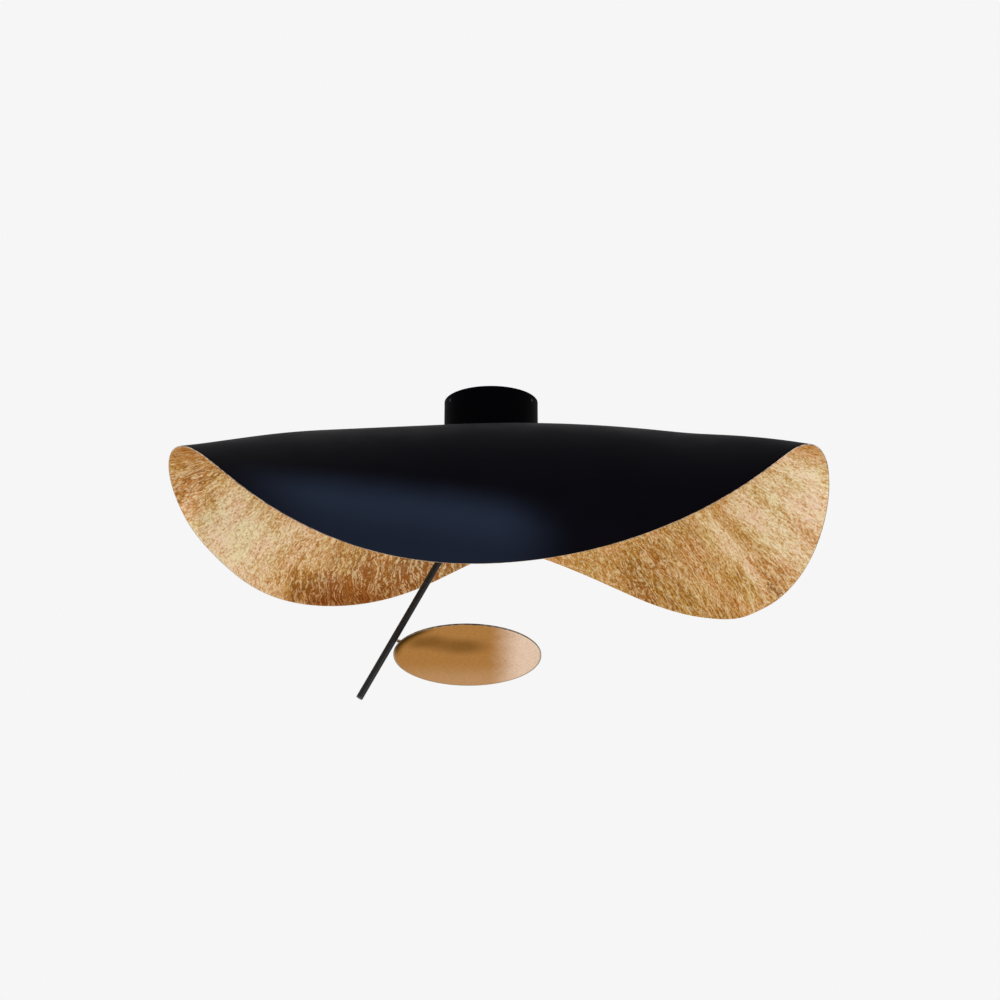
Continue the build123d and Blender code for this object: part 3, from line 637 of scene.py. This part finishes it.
def gold_leaf(settings):
    """Gold leaf laid on the sheet and brushed outwards from its middle, with painted highlights and painted shade
    in wedges, and bright streaks that are partly painted highlights.
    """
    material, tree, shader = blank(
        "gold_leaf", {"Metallic": 1.0, "Specular Tint": (0.85, 0.58, 0.30, 1.0)}
    )
    flat = add(tree, "UVMap", uv_map=FLAT_MAP).outputs["UV"]
    unit, distance = fan_direction(tree, flat)
    drift = wandering(tree, flat, 34.0, 3.4, detail=4.0)
    fine = brushed_vector(tree, unit, distance, drift, FINE_STROKES)
    long = brushed_vector(tree, unit, distance, drift, LONG_STROKES)
    broad = brushed_vector(tree, unit, distance, drift, BROAD_STROKES)
    strokes = noise(tree, fine, 1.0, detail=4, roughness=0.7)
    streaks = noise(tree, long, 1.0, detail=3, roughness=0.6)
    bands = noise(tree, broad, 1.0, detail=3, roughness=0.55)
    patches = noise(tree, flat, 9.0, detail=5, roughness=0.62)
    mottles = noise(tree, flat, 48.0, detail=4, roughness=0.6)
    crumpled = add_vectors(tree, flat, wandering(tree, flat, 130.0, 0.006, detail=3.0))
    grain = noise(tree, crumpled, 250.0, detail=3, roughness=0.65)
    grain = spread(tree, grain, 0.36, 0.64, -0.5, 0.5)

    uneven = add_vectors(tree, flat, wandering(tree, flat, 22.0, 0.07, detail=4.0))
    uneven_unit, uneven_distance = fan_direction(tree, uneven)
    tone = math_node(tree, "MULTIPLY_ADD", bands, BAND_WEIGHT, TONE_START)
    tone = math_node(tree, "MULTIPLY_ADD", patches, PATCH_WEIGHT, tone)
    tone = math_node(tree, "MULTIPLY_ADD", mottles, MOTTLE_WEIGHT, tone)
    # Painted highlights push the tone towards the pale leaf and painted shade towards the dark leaf, one wedge at
    # a time
    for wedge, change in PAINTED_LIGHT_WEDGES:
        inside = inside_wedge(tree, uneven_unit, uneven_distance, wedge)
        tone = math_node(tree, "MULTIPLY_ADD", inside, change, tone)
    tone = math_node(tree, "MULTIPLY_ADD", grain, GRAIN_WEIGHT, tone)
    crinkle = spread(tree, strokes, 0.32, 0.68, -0.5, 0.5)
    tone = math_node(tree, "MULTIPLY_ADD", crinkle, CRINKLE_WEIGHT, tone)

    ramp = add(tree, "ValToRGB", {"Fac": tone})
    stops = ramp.color_ramp.elements
    stops[0].position, stops[0].color = DARK_TONE, opaque(settings.dark_leaf)
    stops[1].position, stops[1].color = PALE_TONE, opaque(settings.pale_leaf)
    stops.new(LEAF_TONE).color = opaque(settings.mid_leaf)

    hue = blend_colour(
        tree,
        spread(tree, noise(tree, flat, 16.0, detail=4), 0.35, 0.65),
        WARM_HUE,
        GREEN_HUE,
    )
    ground = blend_colour(tree, 1.0, ramp.outputs["Color"], hue, mode="MULTIPLY")
    shown = spread(tree, noise(tree, broad, 2.2, detail=2), 0.42, 0.58)
    # Bright streaks along the raised strokes: partly the leaf's own paler tone, partly painted highlights
    glints = math_node(tree, "MULTIPLY", veins(tree, streaks, 0.11), shown)
    glints = math_node(tree, "MULTIPLY", glints, GLINT_SHARE)
    ground = blend_colour(tree, glints, ground, opaque(settings.stroke_glint))
    tree.links.new(ground, shader.inputs["Base Color"])
    dull = spread(tree, strokes, 0.3, 0.7, 0.50, 0.34)
    tree.links.new(dull, shader.inputs["Roughness"])
    relief = math_node(tree, "MULTIPLY_ADD", grain, 0.3, strokes)
    raise_surface(tree, shader, relief, 0.35, 0.0012)
    return material


def cut_edge(name, colour):
    """Cut rim of the sheet, where lacquer and leaf meet on bare metal."""
    material, tree, shader = blank(name, {"Metallic": 0.8})
    place = object_place(tree)
    bites = noise(tree, place, 160, detail=4)
    colour_out = blend_colour(
        tree, spread(tree, bites, 0.35, 0.65), scaled(colour, 0.5), scaled(colour, 1.5)
    )
    tree.links.new(colour_out, shader.inputs["Base Color"])
    dull = spread(tree, bites, 0.3, 0.7, 0.38, 0.55)
    tree.links.new(dull, shader.inputs["Roughness"])
    raise_surface(tree, shader, bites, 0.2, 0.0003)
    return material


def dish_gold(settings):
    """Fine brushed gold of the dish, with painted highlights away from the rod and painted shade near it."""
    material, tree, shader = blank(
        "dish_gold", {"Metallic": 1.0, "Specular Tint": (0.80, 0.52, 0.28, 1.0)}
    )
    flat = add(tree, "UVMap", uv_map=FLAT_MAP).outputs["UV"]
    uneven = add_vectors(tree, flat, wandering(tree, flat, 40.0, 0.018, detail=4.0))
    turned = add(
        tree, "Mapping", {"Vector": uneven, "Rotation": (0, 0, math.radians(PIN_HEADING))}
    ).outputs[0]
    place = add(tree, "SeparateXYZ", {0: turned}).outputs
    stretched = add(tree, "Mapping", {"Vector": flat, "Scale": (0.35, 1, 1)})
    grain = noise(tree, stretched.outputs[0], 520, detail=3, roughness=0.7)
    grain = spread(tree, grain, 0.32, 0.68, -0.5, 0.5)

    colour = opaque(settings.gold)
    # Painted pinkish highlight towards the far side
    far_highlight = spread(tree, place["Y"], *FAR_HIGHLIGHT_FROM)
    colour = blend_colour(tree, far_highlight, colour, opaque(settings.far_highlight_gold))
    # Soft spots of painted shade
    for centre, shape in PAINTED_SHADE_SPOTS:
        middle = add(tree, "VectorMath", {0: turned, 1: centre}, operation="SUBTRACT")
        sized = add(
            tree, "VectorMath", {0: middle.outputs[0], 1: shape}, operation="MULTIPLY"
        )
        away = add(tree, "VectorMath", {0: sized.outputs[0]}, operation="LENGTH")
        painted_shade = spread(tree, away.outputs["Value"], 1.0, 0.1)
        painted_shade = math_node(tree, "MULTIPLY_ADD", grain, 0.3, painted_shade)
        colour = blend_colour(tree, painted_shade, colour, opaque(settings.shade_gold))
    # Painted pale highlight along the pin
    side_highlight = spread(tree, place["X"], *SIDE_HIGHLIGHT_FROM)
    colour = blend_colour(tree, side_highlight, colour, opaque(settings.side_highlight_gold))
    unit, distance = fan_direction(tree, flat)
    # Dark band near the edge of the underside, in the top's black
    edge = inside_wedge(tree, unit, distance, DARK_EDGE_BAND)
    colour = blend_colour(tree, edge, colour, opaque(settings.black))
    # Paler line near the rim, on the far side only
    ring = spread(tree, distance, *PALE_RIM_RING)
    far_half = spread(tree, place["Y"], *PALE_RIM_FROM)
    pale_rim_amount = math_node(tree, "MULTIPLY", ring, far_half)
    colour = blend_colour(tree, pale_rim_amount, colour, opaque(settings.pale_rim))
    speckle = spread(tree, grain, -0.5, 0.5, 0.86, 1.14)
    colour = add(
        tree, "VectorMath", {0: colour, "Scale": speckle}, operation="SCALE"
    ).outputs["Vector"]
    tree.links.new(colour, shader.inputs["Base Color"])
    dull = spread(tree, grain, -0.5, 0.5, 0.46, 0.34)
    tree.links.new(dull, shader.inputs["Roughness"])
    raise_surface(tree, shader, grain, 0.12, 0.0003)
    return material


def finish_for(entry):
    """Finish of one of the record's material slots."""
    slot = entry["slot"]
    colour = entry["base_color"][:3]
    recipes = {
        "galvanised_plate": lambda: metal(slot, colour, 0.42, wear=0.35),
        "zinc_hardware": lambda: metal(slot, colour, 0.34, wear=0.3),
        "black_canopy": lambda: lacquer(slot, (0.0005, 0.0005, 0.0010), 0.5, 0.008),
        "black_screws": lambda: metal(slot, (0.05, 0.05, 0.05), 0.45),
        "black_rubber": lambda: moulded(slot, colour, 0.7, 500, 0.3),
        "driver_case": lambda: moulded(slot, colour, 0.5),
        "terminal_plastic": lambda: moulded(slot, colour, 0.42),
        "brass_screws": lambda: metal(slot, colour, 0.28),
        "earth_wire": lambda: striped_sheath(slot, (0.06, 0.32, 0.05), (0.78, 0.68, 0.04)),
        "input_wire": lambda: moulded(slot, colour, 0.4, 200, 0.1),
        "lead_sheath": lambda: moulded(slot, colour, 0.5, 300, 0.1),
        "black_hardware": lambda: lacquer(slot, colour, 0.42, 0.2),
        "steel_pin": lambda: metal(slot, (0.86, 0.85, 0.83), 0.22, grain=(1, 8, 8)),
        "nylon": lambda: moulded(slot, colour, 0.48, 600, 0.1),
        "black_tube": lambda: lacquer(slot, (0.009, 0.009, 0.010), 0.46, 0.22),
        "black_cap": lambda: moulded(slot, colour, 0.55),
        "black_lamp": lambda: lacquer(slot, colour, 0.4, 0.25),
        "bare_aluminium": lambda: metal(slot, colour, 0.3, grain=(6, 6, 1)),
        "white_board": lambda: moulded(slot, colour, 0.3, 900, 0.05),
        "led_yellow": lambda: moulded(slot, colour, 0.35, 1500, 0.1),
        "opal_lens": lambda: opal(slot, colour),
    }
    return recipes[slot]() if slot in recipes else None


class LIGHT_OT_finish_parts(bpy.types.Operator):
    """Give every carried-over part the finish of its material slot"""

    bl_idname = "ceiling_light.finish_parts"
    bl_label = "Finish the Parts"
    bl_options = {"REGISTER", "UNDO"}

    def execute(self, context):
        finishes = {
            entry["slot"]: finish_for(entry) for entry in frame["record"]["materials"]
        }
        for name, part in frame["nodes"].items():
            finish = finishes[SLOT_OF_NODE[name]]
            if finish:
                part.data.materials.clear()
                part.data.materials.append(finish)
        return {"FINISHED"}


class LIGHT_OT_shade(bpy.types.Operator):
    """Make the bent disc, black outside and gold leaf inside"""

    bl_idname = "ceiling_light.shade"
    bl_label = "Make the Shade"
    bl_options = {"REGISTER", "UNDO"}

    def execute(self, context):
        settings = context.scene.light_shade
        width = (settings.radius - MIDDLE_R) / settings.rings
        profile = [(MIDDLE_R + i * width, 0.0) for i in range(settings.rings + 1)]
        shade = turned_piece("wave_sheet", profile, settings.segments)
        bpy.ops.mesh.select_all(action="SELECT")
        bpy.ops.mesh.normals_make_consistent(inside=False)
        bpy.ops.object.mode_set(mode="OBJECT")
        if shade.data.polygons[0].normal.z < 0:
            bpy.ops.object.mode_set(mode="EDIT")
            bpy.ops.mesh.flip_normals()
            bpy.ops.object.mode_set(mode="OBJECT")
        for finish in (
            # The outside lacquer carries the painted bluish sheen of the front flap
            lacquer("shade_lacquer", settings.outside, 0.5, 0.01, painted_blue_sheen(settings)),
            gold_leaf(settings),
            cut_edge("shade_rim", settings.rim),
        ):
            shade.data.materials.append(finish)

        bpy.ops.object.modifier_add(type="SOLIDIFY")
        wall = shade.modifiers[-1]
        wall.thickness = settings.thickness
        wall.offset = -1
        wall.material_offset = 1
        wall.material_offset_rim = 2
        bpy.ops.object.modifier_apply(modifier=wall.name)

        bpy.ops.object.mode_set(mode="EDIT")
        rim = settings.radius - width / 2
        select_edges(shade, lambda point: point.xy.length > rim)
        bpy.ops.mesh.bevel(offset=settings.edge_round, segments=2, affect="EDGES")
        bpy.ops.object.mode_set(mode="OBJECT")

        ox, oy = SHADE_OFFSET
        cut_hole(shade, settings.stem_hole, (-ox, -oy))
        for heading in SCREW_HEADINGS:
            angle = math.radians(heading)
            x = settings.screw_circle * math.cos(angle) - ox
            y = settings.screw_circle * math.sin(angle) - oy
            cut_hole(shade, settings.screw_hole, (x, y))
        map_flat_sheet(shade)
        bend_sheet(shade)
        select_only(shade)
        bpy.ops.object.shade_smooth_by_angle(angle=math.radians(40))
        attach(shade, "ceiling_mount")
        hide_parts("wave_shade")
        return {"FINISHED"}


def dish_place():
    """Place of the dish: origin over its middle, X along the pin, Z out of the light."""
    joint = next(j for j in frame["joints"] if j["child"] == "dish")
    pin = Vector(joint["axis"]).normalized()
    up = Quaternion(pin, math.radians(DISH_ROLL)) @ Vector((0, 0, 1))
    up = (up - pin * up.dot(pin)).normalized()
    side = up.cross(pin)
    place = Matrix((pin, side, up)).transposed().to_4x4()
    place.translation = Vector(joint["pos_m"]) + pin * PIN_TO_CENTRE
    return place


class LIGHT_OT_dish(bpy.types.Operator):
    """Make the dish, gold below and black above, with its studs"""

    bl_idname = "ceiling_light.dish"
    bl_label = "Make the Dish"
    bl_options = {"REGISTER", "UNDO"}

    def execute(self, context):
        settings = context.scene.light_dish
        radius, top = settings.radius, -settings.top
        under = top - settings.thickness
        lip_top = under + settings.lip
        inner = radius - settings.lip
        flat = radius - 0.0006
        profile = [(flat * i / DISH_RINGS, under) for i in range(1, DISH_RINGS + 1)]
        profile += [
            (radius - 0.0002, under + 0.0002),
            (radius, under + 0.0006),
            (radius, lip_top - 0.0004),
            (radius - 0.0004, lip_top),
            (inner + 0.0003, lip_top),
            (inner, lip_top - 0.0003),
            (inner, top),
            (inner - 0.002, top),
            (0.05, top),
            (0.01, top),
        ]
        dish = turned_piece("gold_dish", profile, DISH_SEGMENTS)
        close_turned_piece()
        for finish in (
            dish_gold(settings),
            lacquer("dish_top_lacquer", settings.black, 0.4, 0.3),
            cut_edge("dish_edge", (0.16, 0.12, 0.08)),
        ):
            dish.data.materials.append(finish)
        points = dish.data.vertices
        for face in dish.data.polygons:
            if max(points[i].co.xy.length for i in face.vertices) > flat + 0.0001:
                face.material_index = 2
            elif face.center.z > top - 0.0002:
                face.material_index = 1

        studs = list(FOOT_STUDS)
        for heading in LAMP_STUD_HEADINGS:
            angle = math.radians(heading)
            studs.append((LAMP_STUD_R * math.cos(angle), LAMP_STUD_R * math.sin(angle)))
        r, tip = settings.stud_radius, top + settings.stud_height
        profile = [(r, top), (r, tip - 0.0004), (r - 0.0004, tip)]
        stud = turned_piece("stud", profile, STUD_SEGMENTS)
        close_turned_piece()
        stud.data.materials.append(bpy.data.materials["zinc_hardware"])
        for x, y in studs:
            copy = stud.copy()
            copy.data = stud.data.copy()
            copy.location = (x, y, 0)
            context.collection.objects.link(copy)
            apply_place(copy)
            dish.select_set(True)
            context.view_layer.objects.active = dish
            bpy.ops.object.join()
        bpy.data.objects.remove(stud)
        map_flat_sheet(dish)
        dish.matrix_world = dish_place()
        apply_place(dish)
        bpy.ops.object.shade_smooth_by_angle(angle=math.radians(30))
        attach(dish, "dish")
        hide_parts("dish_pan")
        return {"FINISHED"}


def background_world(settings):
    """Even daylight, with a pale backdrop where the camera or a reflection looks."""
    world = bpy.data.worlds.new("studio")
    bpy.context.scene.world = world
    world.use_nodes = True
    tree = world.node_tree
    tree.nodes.clear()
    day = add(tree, "Background", {"Color": (1, 1, 1, 1), "Strength": settings.daylight})
    pale = add(tree, "Background", {"Color": opaque(settings.backdrop), "Strength": 1.0})
    path = add(tree, "LightPath").outputs
    seen = math_node(tree, "MAXIMUM", path["Is Camera Ray"], path["Is Glossy Ray"])
    seen = math_node(tree, "MAXIMUM", seen, path["Is Transmission Ray"])
    mixed = add(tree, "MixShader", {0: seen, 1: day.outputs[0], 2: pale.outputs[0]})
    out = add(tree, "OutputWorld")
    tree.links.new(mixed.outputs[0], out.inputs["Surface"])


def add_lamp(box):
    """Large soft lamp that points at a place."""
    data = bpy.data.lights.new(box.name, "AREA")
    data.shape = "SQUARE"
    data.size = box.size
    data.energy = box.power
    lamp = bpy.data.objects.new(box.name, data)
    bpy.context.scene.collection.objects.link(lamp)
    lamp.location = box.place
    towards = Vector(box.aim) - Vector(box.place)
    lamp.rotation_euler = towards.to_track_quat("-Z", "Y").to_euler()


class LIGHT_OT_stage(bpy.types.Operator):
    """Make the floor, the daylight, the soft lamps and the camera"""

    bl_idname = "ceiling_light.stage"
    bl_label = "Make the Stage"
    bl_options = {"REGISTER", "UNDO"}

    def execute(self, context):
        settings = context.scene.light_stage
        background_world(settings)
        bpy.ops.object.select_all(action="DESELECT")
        bpy.ops.mesh.primitive_plane_add(
            size=FLOOR_SIZE, location=(0, 0, -settings.floor_drop)
        )
        floor = context.object
        floor.name = floor.data.name = "floor"
        material = blank(
            "pale_floor", {"Base Color": opaque(settings.backdrop), "Roughness": 0.8}
        )[0]
        floor.data.materials.append(material)

        for box in LAMPS:
            add_lamp(box)

        data = bpy.data.cameras.new("camera")
        data.lens = settings.camera_focal
        data.sensor_width = SENSOR_WIDTH
        camera = bpy.data.objects.new("camera", data)
        context.scene.collection.objects.link(camera)
        camera.location = CAMERA_PLACE
        camera.rotation_euler = (math.pi / 2 + settings.camera_tilt, 0, 0)
        context.scene.camera = camera
        context.scene.view_settings.view_transform = "Standard"
        return {"FINISHED"}


class LIGHT_PT_panel(bpy.types.Panel):
    bl_label = "Ceiling Light"
    bl_idname = "LIGHT_PT_panel"
    bl_space_type = "VIEW_3D"
    bl_region_type = "UI"
    bl_category = "Ceiling Light"

    def draw(self, context):
        """List the steps as buttons, with each group of settings in a box."""
        for operator in STEPS:
            self.layout.operator(operator.bl_idname)
        for name in SETTINGS:
            group = getattr(context.scene, name)
            box = self.layout.box()
            for key in group.__annotations__:
                box.prop(group, key)


STEPS = (LIGHT_OT_finish_parts, LIGHT_OT_shade, LIGHT_OT_dish, LIGHT_OT_stage)
SETTINGS = {
    "light_shade": ShadeSettings,
    "light_dish": DishSettings,
    "light_stage": StageSettings,
}


def register():
    for group in SETTINGS.values():
        bpy.utils.register_class(group)
    for name, group in SETTINGS.items():
        setattr(bpy.types.Scene, name, bpy.props.PointerProperty(type=group))
    for operator in STEPS:
        bpy.utils.register_class(operator)
    bpy.utils.register_class(LIGHT_PT_panel)


def unregister():
    bpy.utils.unregister_class(LIGHT_PT_panel)
    for operator in reversed(STEPS):
        bpy.utils.unregister_class(operator)
    for name, group in reversed(SETTINGS.items()):
        delattr(bpy.types.Scene, name)
        bpy.utils.unregister_class(group)


def main():
    register()
    bpy.ops.object.select_all(action="DESELECT")
    bpy.ops.ceiling_light.finish_parts()
    bpy.ops.ceiling_light.shade()
    bpy.ops.ceiling_light.dish()
    bpy.ops.ceiling_light.stage()


if __name__ == "__main__":
    main()
